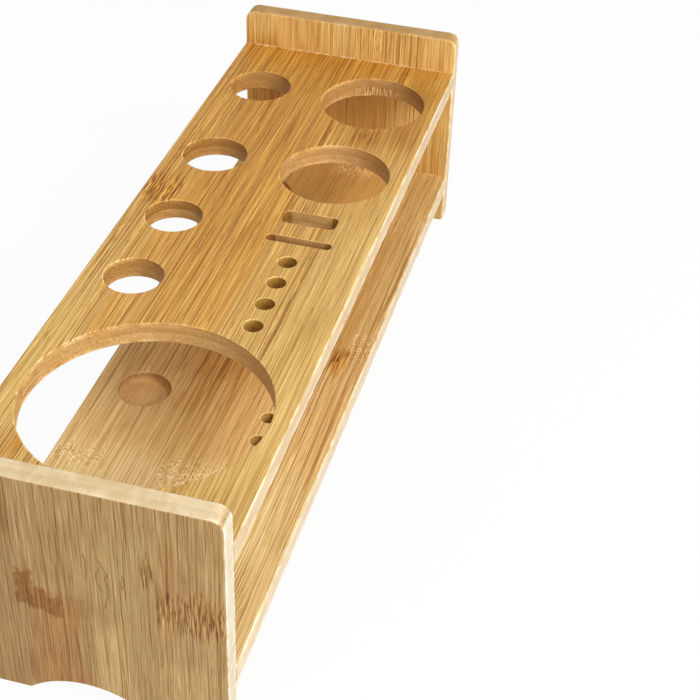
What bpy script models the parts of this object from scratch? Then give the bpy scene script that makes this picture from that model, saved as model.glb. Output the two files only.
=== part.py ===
"""Bamboo organiser for bar tools: two end panels carry a pierced top shelf above a lower shelf.

The origin is on the floor, under the middle of the stand. X runs along the length, with the
shaker's hole at -X. The row of cups, slots and picks is on the -Y side. Sizes are in metres.
"""

import math

import bmesh
import bpy

# Heights, counted upwards from the floor
FOOT_CLEARANCE = 0.0175
LOWER_SHELF_THICKNESS = 0.0095
SHELF_GAP = 0.0515
TOP_SHELF_THICKNESS = 0.0095
LIP_HEIGHT = 0.018

# End panels
PANEL_THICKNESS = 0.009
PANEL_TOP_CORNER = 0.005
PANEL_FOOT_CORNER = 0.002
ARCH_WIDTH = 0.0455
ARCH_HEIGHT = 0.0085

# Round openings of the top shelf
SHAKER_DIAMETER = 0.096
CUP_DIAMETER = 0.050
TOOL_DIAMETER = 0.0296
POURER_DIAMETER = 0.0249
PICK_DIAMETER = 0.0080

# Slots of the top shelf, which run across the board
NARROW_SLOT_LENGTH = 0.029
NARROW_SLOT_WIDTH = 0.0045
WIDE_SLOT_LENGTH = 0.0242
WIDE_SLOT_WIDTH = 0.0092
WIDE_SLOT_CORNER = 0.0025

# Wood left between the openings and the edges of the board
SHAKER_SIDE_WALL = 0.007
SHAKER_END_WALL = 0.0137
CUP_SIDE_WALL = 0.0063
TOOL_SIDE_WALL = 0.0065

# Steps along the front row, from the shaker's hole to the right panel
SHAKER_TO_PICK = 0.0078
PICK_PITCH = 0.0154
PICK_COUNT = 4
PICK_TO_SLOT = 0.0099
SLOT_TO_SLOT = 0.0107
SLOT_TO_CUP = 0.0107
CUP_TO_CUP = 0.019
CUP_END_WALL = 0.01725

# Steps along the back row, from the shaker's hole
SHAKER_TO_POURER = 0.0135
POURER_TO_POURER = 0.0225

# Pockets in the lower shelf, each under its hole
POCKET_DEPTH = 0.004
PICK_POCKET_DEPTH = 0.006
POCKET_STEP = 0.0013

# Dowels that join each end of a shelf to its panel
DOWEL_DIAMETER = 0.005
DOWEL_LENGTH = 0.020
DOWEL_CHAMFER = 0.0006
DOWEL_COVER = 0.0032
DOWEL_INSET = 0.020

# Finish
EDGE_ROUNDING = 0.0005
FIT_GAP = 0.0003

# How finely round shapes are divided
SHAKER_SEGMENTS = 72
CUP_SEGMENTS = 48
TOOL_SEGMENTS = 36
PICK_SEGMENTS = 20
DOWEL_SEGMENTS = 16
CORNER_STEPS = 5
ARCH_STEPS = 16
ROUNDING_SEGMENTS = 2

# Working allowances of the cutters
OVERCUT = 0.004
SHARP_ANGLE = math.radians(35)
WELD_DISTANCE = 0.00001

# Heights that follow
LOWER_SHELF_BOTTOM = FOOT_CLEARANCE
LOWER_SHELF_TOP = LOWER_SHELF_BOTTOM + LOWER_SHELF_THICKNESS
TOP_SHELF_BOTTOM = LOWER_SHELF_TOP + SHELF_GAP
TOP_SHELF_TOP = TOP_SHELF_BOTTOM + TOP_SHELF_THICKNESS
PANEL_HEIGHT = TOP_SHELF_TOP + LIP_HEIGHT

# Width and rows that follow
STAND_WIDTH = SHAKER_DIAMETER + 2 * SHAKER_SIDE_WALL
FRONT_ROW = -STAND_WIDTH / 2 + CUP_SIDE_WALL + CUP_DIAMETER / 2
BACK_ROW = STAND_WIDTH / 2 - TOOL_SIDE_WALL - TOOL_DIAMETER / 2

# Places along the length that follow, counted from the left panel's outer face
SHAKER_PLACE = PANEL_THICKNESS + SHAKER_END_WALL + SHAKER_DIAMETER / 2
SHAKER_EDGE = SHAKER_PLACE + SHAKER_DIAMETER / 2
FIRST_PICK_PLACE = SHAKER_EDGE + SHAKER_TO_PICK
LAST_PICK_PLACE = FIRST_PICK_PLACE + (PICK_COUNT - 1) * PICK_PITCH
NARROW_SLOT_PLACE = LAST_PICK_PLACE + PICK_DIAMETER / 2 + PICK_TO_SLOT + NARROW_SLOT_WIDTH / 2
WIDE_SLOT_PLACE = NARROW_SLOT_PLACE + NARROW_SLOT_WIDTH / 2 + SLOT_TO_SLOT + WIDE_SLOT_WIDTH / 2
FIRST_CUP_PLACE = WIDE_SLOT_PLACE + WIDE_SLOT_WIDTH / 2 + SLOT_TO_CUP + CUP_DIAMETER / 2
SECOND_CUP_PLACE = FIRST_CUP_PLACE + CUP_DIAMETER + CUP_TO_CUP
FIRST_POURER_PLACE = SHAKER_EDGE + SHAKER_TO_POURER + POURER_DIAMETER / 2
SECOND_POURER_PLACE = FIRST_POURER_PLACE + POURER_DIAMETER + POURER_TO_POURER
STAND_LENGTH = SECOND_CUP_PLACE + CUP_DIAMETER / 2 + CUP_END_WALL + PANEL_THICKNESS
INSIDE_LENGTH = STAND_LENGTH - 2 * PANEL_THICKNESS


def along(place):
    """X of a place that is counted from the left panel's outer face."""
    return place - STAND_LENGTH / 2


def clear_scene():
    for old in list(bpy.data.objects):
        bpy.data.objects.remove(old, do_unlink=True)


def new_collection(name):
    collection = bpy.data.collections.new(name)
    bpy.context.scene.collection.children.link(collection)
    return collection


def new_object(name, mesh, collection):
    obj = bpy.data.objects.new(name, mesh)
    collection.objects.link(obj)
    return obj


def bamboo(name, colour, roughness):
    """A waxed bamboo finish in one plain colour."""
    material = bpy.data.materials.new(name)
    material.use_nodes = True
    shader = material.node_tree.nodes["Principled BSDF"]
    shader.inputs["Base Color"].default_value = (*colour, 1.0)
    shader.inputs["Roughness"].default_value = roughness
    shader.inputs["Metallic"].default_value = 0.0
    material.diffuse_color = (*colour, 1.0)
    return material


def box_mesh(name, length, width, height):
    mesh = bpy.data.meshes.new(name)
    work = bmesh.new()
    bmesh.ops.create_cube(work, size=1.0)
    bmesh.ops.scale(work, vec=(length, width, height), verts=work.verts)
    work.to_mesh(mesh)
    work.free()
    return mesh


def cylinder_mesh(name, diameter, height, segments):
    mesh = bpy.data.meshes.new(name)
    work = bmesh.new()
    bmesh.ops.create_cone(
        work,
        cap_ends=True,
        segments=segments,
        radius1=diameter / 2,
        radius2=diameter / 2,
        depth=height,
    )
    work.to_mesh(mesh)
    work.free()
    return mesh


def arc(centre, radius, start, end, steps):
    """Points on an arc, both ends included, with its angles in degrees."""
    points = []
    for i in range(steps + 1):
        angle = math.radians(start + (end - start) * i / steps)
        points.append((centre[0] + radius * math.cos(angle), centre[1] + radius * math.sin(angle)))
    return points


def extruded_outline(name, points, thickness, place, turn):
    """A closed flat outline given a thickness, as a mesh object in the parts' own space."""
    curve = bpy.data.curves.new(name + "_outline", "CURVE")
    curve.dimensions = "2D"
    curve.fill_mode = "BOTH"
    curve.extrude = thickness / 2
    spline = curve.splines.new("POLY")
    spline.points.add(len(points) - 1)
    for point, (x, y) in zip(spline.points, points):
        point.co = (x, y, 0.0, 1.0)
    spline.use_cyclic_u = True
    outline = bpy.data.objects.new(name + "_outline", curve)
    outline.location = place
    outline.rotation_euler = turn
    bpy.context.scene.collection.objects.link(outline)
    bpy.context.view_layer.update()

    evaluated = outline.evaluated_get(bpy.context.evaluated_depsgraph_get())
    mesh = bpy.data.meshes.new_from_object(evaluated)
    mesh.name = name
    solid = bpy.data.objects.new(name, mesh)
    solid.matrix_world = outline.matrix_world
    bpy.data.objects.remove(outline, do_unlink=True)
    bpy.data.curves.remove(curve)

    work = bmesh.new()
    work.from_mesh(mesh)
    bmesh.ops.remove_doubles(work, verts=work.verts, dist=WELD_DISTANCE)
    bmesh.ops.dissolve_limit(
        work, angle_limit=math.radians(1), verts=work.verts, edges=work.edges
    )
    bmesh.ops.recalc_face_normals(work, faces=work.faces)
    work.to_mesh(mesh)
    work.free()
    return solid


def as_cutter(cutter, collection):
    collection.objects.link(cutter)
    cutter.hide_render = True
    cutter.display_type = "WIRE"
    return cutter


def add_cut(board, collection):
    cut = board.modifiers.new("cut_" + collection.name, "BOOLEAN")
    cut.operation = "DIFFERENCE"
    cut.operand_type = "COLLECTION"
    cut.collection = collection
    cut.solver = "EXACT"


def add_rounding(board):
    """Sanded edges: the outer arrises and the rims of the openings."""
    rounding = board.modifiers.new("sanded_edges", "BEVEL")
    rounding.width = EDGE_ROUNDING
    rounding.segments = ROUNDING_SEGMENTS
    rounding.limit_method = "ANGLE"
    rounding.angle_limit = SHARP_ANGLE


def cut_to_length(board, box):
    """Leaves the board's ends square where they meet the panels."""
    trim = board.modifiers.new("cut_to_length", "BOOLEAN")
    trim.operation = "INTERSECT"
    trim.object = box
    trim.solver = "EXACT"


def panel_outline():
    """The end panel's outline across the stand: rounded top corners, and feet beside an arch."""
    half = STAND_WIDTH / 2
    arch_radius = (ARCH_WIDTH**2 / 4 + ARCH_HEIGHT**2) / (2 * ARCH_HEIGHT)
    arch_centre = (0.0, ARCH_HEIGHT - arch_radius)
    arch_angle = math.degrees(math.asin(ARCH_WIDTH / 2 / arch_radius))
    top = PANEL_HEIGHT - PANEL_TOP_CORNER
    side = half - PANEL_TOP_CORNER
    foot = half - PANEL_FOOT_CORNER
    points = arc((side, top), PANEL_TOP_CORNER, 0, 90, CORNER_STEPS)
    points += arc((-side, top), PANEL_TOP_CORNER, 90, 180, CORNER_STEPS)
    points += arc((-foot, PANEL_FOOT_CORNER), PANEL_FOOT_CORNER, 180, 270, CORNER_STEPS)
    points += arc(arch_centre, arch_radius, 90 + arch_angle, 90 - arch_angle, ARCH_STEPS)
    points += arc((foot, PANEL_FOOT_CORNER), PANEL_FOOT_CORNER, 270, 360, CORNER_STEPS)
    return points


def rounded_slot(length, width, corner):
    """A slot's outline, long across the stand, with corners up to a full half circle."""
    corner = min(corner, width / 2 - WELD_DISTANCE)
    reach_x = width / 2 - corner
    reach_y = length / 2 - corner
    points = arc((reach_x, reach_y), corner, 0, 90, CORNER_STEPS)
    points += arc((-reach_x, reach_y), corner, 90, 180, CORNER_STEPS)
    points += arc((-reach_x, -reach_y), corner, 180, 270, CORNER_STEPS)
    points += arc((reach_x, -reach_y), corner, 270, 360, CORNER_STEPS)
    return points


def round_openings():
    """Name, place along the length, row, diameter, pocket diameter and segments of each hole."""
    openings = [("shaker", SHAKER_PLACE, 0.0, SHAKER_DIAMETER, 0.0, SHAKER_SEGMENTS)]
    pourer_pocket = POURER_DIAMETER - 2 * POCKET_STEP
    tool_pocket = TOOL_DIAMETER - 2 * POCKET_STEP
    for i, place in enumerate((FIRST_POURER_PLACE, SECOND_POURER_PLACE)):
        name = f"pourer_{i + 1}"
        openings.append((name, place, BACK_ROW, POURER_DIAMETER, pourer_pocket, TOOL_SEGMENTS))
    for i, place in enumerate((FIRST_CUP_PLACE, SECOND_CUP_PLACE)):
        openings.append((f"cup_{i + 1}", place, FRONT_ROW, CUP_DIAMETER, 0.0, CUP_SEGMENTS))
        openings.append((f"tool_{i + 1}", place, BACK_ROW, TOOL_DIAMETER, tool_pocket, TOOL_SEGMENTS))
    for i in range(PICK_COUNT):
        place = FIRST_PICK_PLACE + i * PICK_PITCH
        name = f"pick_{i + 1}"
        openings.append((name, place, FRONT_ROW, PICK_DIAMETER, PICK_DIAMETER, PICK_SEGMENTS))
    return openings


def make_opening_cutters(holes, pockets):
    """Drills through the top shelf, and stopped drills into the lower shelf below them."""
    hole_height = TOP_SHELF_THICKNESS + 2 * OVERCUT
    hole_centre = (TOP_SHELF_TOP + TOP_SHELF_BOTTOM) / 2
    for name, place, row, diameter, pocket, segments in round_openings():
        mesh = cylinder_mesh(name + "_drill", diameter, hole_height, segments)
        drill = as_cutter(bpy.data.objects.new(name + "_drill", mesh), holes)
        drill.location = (along(place), row, hole_centre)
        if pocket > 0:
            depth = PICK_POCKET_DEPTH if diameter == PICK_DIAMETER else POCKET_DEPTH
            pocket_height = depth + OVERCUT
            pocket_centre = LOWER_SHELF_TOP - depth + pocket_height / 2
            mesh = cylinder_mesh(name + "_pocket_drill", pocket, pocket_height, segments)
            stopped = as_cutter(bpy.data.objects.new(name + "_pocket_drill", mesh), pockets)
            stopped.location = (along(place), row, pocket_centre)

    slots = (
        ("narrow_slot", NARROW_SLOT_PLACE, NARROW_SLOT_LENGTH, NARROW_SLOT_WIDTH, NARROW_SLOT_WIDTH),
        ("wide_slot", WIDE_SLOT_PLACE, WIDE_SLOT_LENGTH, WIDE_SLOT_WIDTH, WIDE_SLOT_CORNER),
    )
    for name, place, length, width, corner in slots:
        outline = rounded_slot(length, width, corner)
        centre = (along(place), FRONT_ROW, hole_centre)
        as_cutter(extruded_outline(name + "_router", outline, hole_height, centre, (0, 0, 0)), holes)


def dowel_places():
    """Name and centre of each dowel: two in every joint between a shelf and a panel."""
    places = []
    reach_into_panel = PANEL_THICKNESS - DOWEL_COVER - FIT_GAP
    inner_face = STAND_LENGTH / 2 - PANEL_THICKNESS
    x = inner_face + reach_into_panel - DOWEL_LENGTH / 2
    y = STAND_WIDTH / 2 - DOWEL_INSET
    heights = (
        ("top", (TOP_SHELF_TOP + TOP_SHELF_BOTTOM) / 2),
        ("lower", (LOWER_SHELF_TOP + LOWER_SHELF_BOTTOM) / 2),
    )
    for shelf, z in heights:
        for end, side_x in (("left", -x), ("right", x)):
            for side, side_y in (("front", -y), ("back", y)):
                places.append((f"{shelf}_{end}_{side}_dowel", (side_x, side_y, z)))
    return places


def make_dowels(parts, bores, stand, finish):
    """Chamfered beech dowels, and the blind bores that hold them."""
    across = (0.0, math.pi / 2, 0.0)
    dowel_mesh = cylinder_mesh("dowel", DOWEL_DIAMETER, DOWEL_LENGTH, DOWEL_SEGMENTS)
    work = bmesh.new()
    work.from_mesh(dowel_mesh)
    rims = [edge for edge in work.edges if abs(edge.verts[0].co.z - edge.verts[1].co.z) < WELD_DISTANCE]
    bmesh.ops.bevel(
        work,
        geom=rims,
        offset=DOWEL_CHAMFER,
        offset_type="OFFSET",
        segments=1,
        affect="EDGES",
    )
    work.to_mesh(dowel_mesh)
    work.free()
    dowel_mesh.materials.append(finish)
    dowel_mesh.shade_smooth()
    dowel_mesh.set_sharp_from_angle(angle=SHARP_ANGLE)
    bore_mesh = cylinder_mesh(
        "dowel_bore",
        DOWEL_DIAMETER + 2 * FIT_GAP,
        DOWEL_LENGTH + 2 * FIT_GAP,
        DOWEL_SEGMENTS,
    )
    for name, centre in dowel_places():
        dowel = new_object(name, dowel_mesh, parts)
        dowel.location = centre
        dowel.rotation_euler = across
        dowel.parent = stand
        bore = as_cutter(bpy.data.objects.new(name + "_bore", bore_mesh), bores)
        bore.location = centre
        bore.rotation_euler = across


def make_panel(name, middle, parts, bores, stand, finish):
    """An end panel, standing on its two feet."""
    upright = (math.pi / 2, 0.0, math.pi / 2)
    place = (middle, 0.0, 0.0)
    panel = extruded_outline(name, panel_outline(), PANEL_THICKNESS, place, upright)
    parts.objects.link(panel)
    panel.parent = stand
    panel.data.materials.append(finish)
    add_rounding(panel)
    add_cut(panel, bores)
    return panel


def make_shelf(name, bottom, thickness, openings, parts, bores, box, stand, finish):
    """A shelf board, pierced, sanded and then cut to length between the panels."""
    mesh = box_mesh(name, INSIDE_LENGTH + 2 * OVERCUT, STAND_WIDTH, thickness)
    mesh.materials.append(finish)
    shelf = new_object(name, mesh, parts)
    shelf.location = (0.0, 0.0, bottom + thickness / 2)
    shelf.parent = stand
    add_cut(shelf, openings)
    add_rounding(shelf)
    cut_to_length(shelf, box)
    add_cut(shelf, bores)
    return shelf


def main():
    clear_scene()
    parts = new_collection("bar_tool_organizer")
    holes = new_collection("hole_cutters")
    pockets = new_collection("pocket_cutters")
    bores = new_collection("dowel_bore_cutters")
    trims = new_collection("trim_cutters")

    stand = bpy.data.objects.new("stand", None)
    parts.objects.link(stand)

    panel_finish = bamboo("panel_bamboo", (0.52, 0.33, 0.16), 0.5)
    top_finish = bamboo("top_shelf_bamboo", (0.63, 0.41, 0.17), 0.48)
    lower_finish = bamboo("lower_shelf_bamboo", (0.55, 0.34, 0.15), 0.5)
    dowel_finish = bamboo("dowel_beech", (0.68, 0.50, 0.31), 0.6)

    box_height = PANEL_HEIGHT + 2 * OVERCUT
    mesh = box_mesh("shelf_length", INSIDE_LENGTH - 2 * FIT_GAP, STAND_WIDTH + 2 * OVERCUT, box_height)
    box = as_cutter(bpy.data.objects.new("shelf_length", mesh), trims)
    box.location = (0.0, 0.0, PANEL_HEIGHT / 2)

    make_opening_cutters(holes, pockets)
    make_dowels(parts, bores, stand, dowel_finish)
    panel_middle = (STAND_LENGTH - PANEL_THICKNESS) / 2
    make_panel("left_end_panel", -panel_middle, parts, bores, stand, panel_finish)
    make_panel("right_end_panel", panel_middle, parts, bores, stand, panel_finish)
    make_shelf(
        "top_shelf", TOP_SHELF_BOTTOM, TOP_SHELF_THICKNESS, holes, parts, bores, box, stand, top_finish
    )
    make_shelf(
        "lower_shelf",
        LOWER_SHELF_BOTTOM,
        LOWER_SHELF_THICKNESS,
        pockets,
        parts,
        bores,
        box,
        stand,
        lower_finish,
    )


main()
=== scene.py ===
"""Looks of the bamboo organiser for bar tools: finer boards, a bamboo finish, studio light and camera.

Lengths are in millimetres until they reach a mesh or an object. X runs along the stand, with the
shaker's hole at -X. Y runs across it, and the row of cups, slots and picks is on the -Y side.
"""

import math

import bmesh
import bpy
from mathutils import Matrix, Vector
from mathutils.geometry import delaunay_2d_cdt


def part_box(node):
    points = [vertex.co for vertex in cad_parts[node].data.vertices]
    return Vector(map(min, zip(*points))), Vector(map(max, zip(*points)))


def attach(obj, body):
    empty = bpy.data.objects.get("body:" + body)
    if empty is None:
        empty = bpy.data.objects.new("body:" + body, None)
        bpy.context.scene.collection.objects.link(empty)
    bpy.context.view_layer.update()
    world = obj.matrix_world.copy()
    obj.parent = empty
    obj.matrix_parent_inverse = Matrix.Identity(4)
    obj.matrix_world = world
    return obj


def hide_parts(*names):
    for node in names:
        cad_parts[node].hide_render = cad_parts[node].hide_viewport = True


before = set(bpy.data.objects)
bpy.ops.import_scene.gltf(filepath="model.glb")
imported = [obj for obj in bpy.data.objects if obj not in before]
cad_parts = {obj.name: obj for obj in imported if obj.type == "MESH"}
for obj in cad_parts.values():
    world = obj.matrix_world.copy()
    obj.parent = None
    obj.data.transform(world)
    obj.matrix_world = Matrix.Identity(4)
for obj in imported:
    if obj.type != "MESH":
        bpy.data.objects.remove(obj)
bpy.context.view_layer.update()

MM = 0.001

# Edges of the boards
EDGE_RADIUS = 0.5
EDGE_STEPS = 4
EDGE_WANDER = 0.14
FLAT_BORDER = 0.35
PLY_GROOVE = 0.07
PLY_GROOVE_WIDTH = 0.22
SHARP_ANGLE = 38.0

# Waves of an edge's wander: how many go round it, how its phase shifts them, and their height
EDGE_WAVES = ((3, 1.0, 1.0), (7, 2.3, 0.6), (16, 5.1, 0.5))

# Straight runs of an outline get more points where they are long
OUTLINE_STEP = 6.0
LONG_RUN = 1.5 * OUTLINE_STEP
SAME_WAY = 0.7

# Openings of the top shelf, with their places as in the solid part
SHAKER = (-112.775, 0.0, 96.0)
CUPS = ((63.225, -23.7, 50.0), (132.225, -23.7, 50.0))
TOOLS = ((63.225, 33.7, 29.6), (132.225, 33.7, 29.6))
POURERS = ((-38.825, 33.7, 24.9), (8.575, 33.7, 24.9))
PICKS = tuple((-56.975 + 15.4 * i, -23.7, 8.0) for i in range(4))
NARROW_SLOT = (5.375, -23.7, 4.5, 29.0, 2.249)
WIDE_SLOT = (22.925, -23.7, 9.2, 24.2, 2.5)
DEGREES_PER_POINT = {96.0: 2.5, 50.0: 3.75, 29.6: 5.0, 24.9: 5.0, 8.0: 10.0}
SLOT_CORNER_STEPS = 8

# Pockets of the lower shelf
POCKET_STEP = 0.8
PICK_POCKET_STEP = 0.6
POCKET_SHIFT = (1.2, -1.0)
POCKET_DEPTH = 4.0
PICK_POCKET_DEPTH = 6.0
POCKET_RIM = 0.4
POCKET_FILLET = 3.2
POCKET_FILLET_SHARE = 0.27
POCKET_FILLET_STEPS = 5
POCKET_FLOOR_RINGS = (0.2, 0.45, 0.7)

# Outline of the end panels
TOP_CORNER = 5.0
TOP_CORNER_STEPS = 10
FOOT_CORNER = 2.0
FOOT_CORNER_STEPS = 6
ARCH_WIDTH = 45.5
ARCH_HEIGHT = 8.5
ARCH_STEPS = 32

# Dried glue along the joints: its waves are given by their pitch and their share of the phase
GLUE_SIZE = 0.24
GLUE_LEAST = 0.04
GLUE_WANDER = 0.15
GLUE_WAVES = ((0.43, 1), (1.37, 3))
GLUE_RISE = 0.8
GLUE_HOLLOW = (0.36, 0.3)
GLUE_STEPS = 110
GLUE_SETBACK = 1.2


# Outlines: each point carries its place and the way out of the wood

def arc(centre, radius, start, end, steps, side=1.0):
    points = []
    for i in range(steps + 1):
        angle = math.radians(start + (end - start) * i / steps)
        way = Vector((math.cos(angle), math.sin(angle)))
        points.append((Vector(centre) + way * radius, way * side))
    return points


def round_hole(x, y, diameter):
    count = round(360 / DEGREES_PER_POINT[diameter])
    return arc((x, y), diameter / 2, 0, 360, count, -1.0)[:-1]


def slot_hole(x, y, width, length, corner):
    reach_x, reach_y = width / 2 - corner, length / 2 - corner
    points = []
    for i, (sx, sy) in enumerate(((1, 1), (-1, 1), (-1, -1), (1, -1))):
        centre = (x + sx * reach_x, y + sy * reach_y)
        points += arc(centre, corner, 90 * i, 90 * i + 90, SLOT_CORNER_STEPS, -1.0)
    return subdivided(points)


def shelf_outline(half_length, half_width):
    corners = ((1, -1), (1, 1), (-1, 1), (-1, -1))
    points = [(Vector((sx * half_length, sy * half_width)), Vector((0, sy))) for sx, sy in corners]
    return subdivided(points)


def arch_outline():
    """The arch between the feet. Its ends point half out of the arch and half down."""
    radius = (ARCH_WIDTH ** 2 / 4 + ARCH_HEIGHT ** 2) / (2 * ARCH_HEIGHT)
    reach = math.degrees(math.asin(ARCH_WIDTH / 2 / radius))
    points = arc((0, ARCH_HEIGHT - radius), radius, 90 + reach, 90 - reach, ARCH_STEPS, -1.0)
    down = Vector((0, -1))
    for i in (0, -1):
        place, way = points[i]
        points[i] = (place, (way + down) / (1 + way.dot(down)))
    return points


def panel_outline(half_width, height):
    side, top, foot = half_width - TOP_CORNER, height - TOP_CORNER, half_width - FOOT_CORNER
    points = arc((side, top), TOP_CORNER, 0, 90, TOP_CORNER_STEPS)
    points += arc((-side, top), TOP_CORNER, 90, 180, TOP_CORNER_STEPS)
    points += arc((-foot, FOOT_CORNER), FOOT_CORNER, 180, 270, FOOT_CORNER_STEPS)
    points += arch_outline()
    points += arc((foot, FOOT_CORNER), FOOT_CORNER, 270, 360, FOOT_CORNER_STEPS)
    return subdivided(points)


def subdivided(points):
    """Puts points on the long straight runs, where the way out is the same at both ends."""
    result = []
    for i, (place, way) in enumerate(points):
        result.append((place, way))
        next_place, next_way = points[(i + 1) % len(points)]
        run = (next_place - place).length
        if way.dot(next_way) > SAME_WAY and run > LONG_RUN:
            count = round(run / OUTLINE_STEP)
            for k in range(1, count):
                result.append((place.lerp(next_place, k / count), way.lerp(next_way, k / count)))
    return result


# Boards: rings run down from one face to the other, and the two faces are filled between them

def rounding(steps, radius):
    """(share of the way left to the wall, depth) of each ring round an edge, from the face down."""
    angles = [math.radians(90 * i / steps) for i in range(steps + 1)]
    return [(1 - math.sin(angle), (1 - math.cos(angle)) * radius) for angle in angles]


def through_rows(thickness):
    """(share of the edge radius, distance into the wood, depth, and 1 on the rounded edges, where wear and
    a painted highlight go) of each ring.
    """
    ply = thickness / 2
    edge = rounding(EDGE_STEPS, EDGE_RADIUS)
    wall = (
        (0.0, ply * 0.5),
        (0.0, ply - PLY_GROOVE_WIDTH),
        (PLY_GROOVE, ply),
        (0.0, ply + PLY_GROOVE_WIDTH),
        (0.0, (ply + thickness) * 0.5),
    )
    rows = [(1.0, FLAT_BORDER, 0.0, 0.0)]
    rows += [(share, 0.0, depth, 1.0) for share, depth in edge]
    rows += [(0.0, into, depth, 0.0) for into, depth in wall]
    rows += [(share, 0.0, thickness - depth, 1.0) for share, depth in reversed(edge)]
    rows.append((1.0, FLAT_BORDER, thickness, 0.0))
    return rows


def pocket_rows(radius, depth):
    """The same four numbers for the rings of a pocket, down its wall and over its floor."""
    scale = POCKET_RIM / EDGE_RADIUS
    rim = rounding(EDGE_STEPS, POCKET_RIM)
    fillet = min(POCKET_FILLET, radius * POCKET_FILLET_SHARE)
    rows = [(scale, FLAT_BORDER, 0.0, 0.0)]
    rows += [(share * scale, 0.0, down, 1.0) for share, down in rim]
    rows.append((0.0, 0.0, (POCKET_RIM + depth - fillet) / 2, 0.0))
    for share, into in rounding(POCKET_FILLET_STEPS, fillet):
        rows.append((0.0, -into, depth - fillet * share, 0.0))
    rows += [(0.0, -radius * share, depth, 0.0) for share in POCKET_FLOOR_RINGS]
    return rows


def outward_mesh(name, points, faces):
    """A mesh from points in millimetres, with its faces turned outwards."""
    mesh = bpy.data.meshes.new(name)
    mesh.from_pydata([point * MM for point in points], [], faces)
    work = bmesh.new()
    work.from_mesh(mesh)
    bmesh.ops.recalc_face_normals(work, faces=work.faces)
    work.to_mesh(mesh)
    work.free()
    return mesh


def add_object(name, data):
    thing = bpy.data.objects.new(name, data)
    bpy.context.scene.collection.objects.link(thing)
    return thing


class Board:
    """Collects a board's rings and faces in its own plane, with the depth as the third number."""

    def __init__(self, name, to_world):
        self.name = name
        self.to_world = to_world
        self.points = []
        self.wear_and_glint = []
        self.faces = []
        self.tops = []
        self.bottoms = []

    def ring(self, outline, share, into, depth, wear_and_glint, phase):
        first = len(self.points)
        count = len(outline)
        for i, (place, way) in enumerate(outline):
            turn = math.tau * i / count
            wander = sum(high * math.sin(waves * turn + shift * phase) for waves, shift, high in EDGE_WAVES)
            inset = share * EDGE_RADIUS * (1 + EDGE_WANDER * wander) + into
            spot = place - way * inset
            self.points.append(Vector((spot.x, spot.y, depth)))
            self.wear_and_glint.append(wear_and_glint)
        return list(range(first, first + count))

    def walls(self, outline, rows, phase, closed=False):
        """The walls of an outline or an opening. A closed opening is a pocket, with its own floor."""
        rings = [self.ring(outline, *row, phase) for row in rows]
        for upper, lower in zip(rings, rings[1:]):
            for i in range(len(upper)):
                k = (i + 1) % len(upper)
                self.faces.append((upper[i], upper[k], lower[k], lower[i]))
        self.tops.append(rings[0])
        if closed:
            self.close(rings[-1])
        else:
            self.bottoms.append(rings[-1])

    def close(self, ring):
        middle = Vector((0, 0, 0))
        for i in ring:
            middle += self.points[i] / len(ring)
        centre = len(self.points)
        self.points.append(middle)
        self.wear_and_glint.append(0.0)
        for i in range(len(ring)):
            self.faces.append((ring[i], ring[(i + 1) % len(ring)], centre))

    def fill(self, rings):
        """A flat face between the first ring, the outline, and the rings of the openings."""
        order = [i for ring in rings for i in ring]
        flat = [self.points[i].xy for i in order]
        edges, start = [], 0
        for ring in rings:
            count = len(ring)
            edges += [(start + i, start + (i + 1) % count) for i in range(count)]
            start += count
        found = delaunay_2d_cdt(flat, edges, [], 1, 1e-6)
        holes = [[self.points[i].xy for i in ring] for ring in rings[1:]]
        for face in found[2]:
            middle = sum((found[0][i] for i in face), Vector((0, 0))) / len(face)
            if not any(inside(middle, hole) for hole in holes):
                self.faces.append(tuple(order[found[3][i][0]] for i in face))

    def finish(self, material, slot, *nodes):
        self.fill(self.tops)
        self.fill(self.bottoms)
        mesh = outward_mesh(self.name, [self.to_world(point) for point in self.points], self.faces)
        wear_and_glint = mesh.attributes.new("wear_and_glint", "FLOAT", "POINT")
        wear_and_glint.data.foreach_set("value", self.wear_and_glint)
        mesh.materials.append(material)
        mesh.shade_smooth()
        mesh.set_sharp_from_angle(angle=math.radians(SHARP_ANGLE))
        board = add_object(self.name, mesh)
        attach(board, "root")
        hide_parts(*nodes)


def inside(point, polygon):
    result = False
    for i in range(len(polygon)):
        a, b = polygon[i], polygon[i - 1]
        if (a.y > point.y) != (b.y > point.y):
            if point.x < (b.x - a.x) * (point.y - a.y) / (b.y - a.y) + a.x:
                result = not result
    return result


# Nodes

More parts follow.
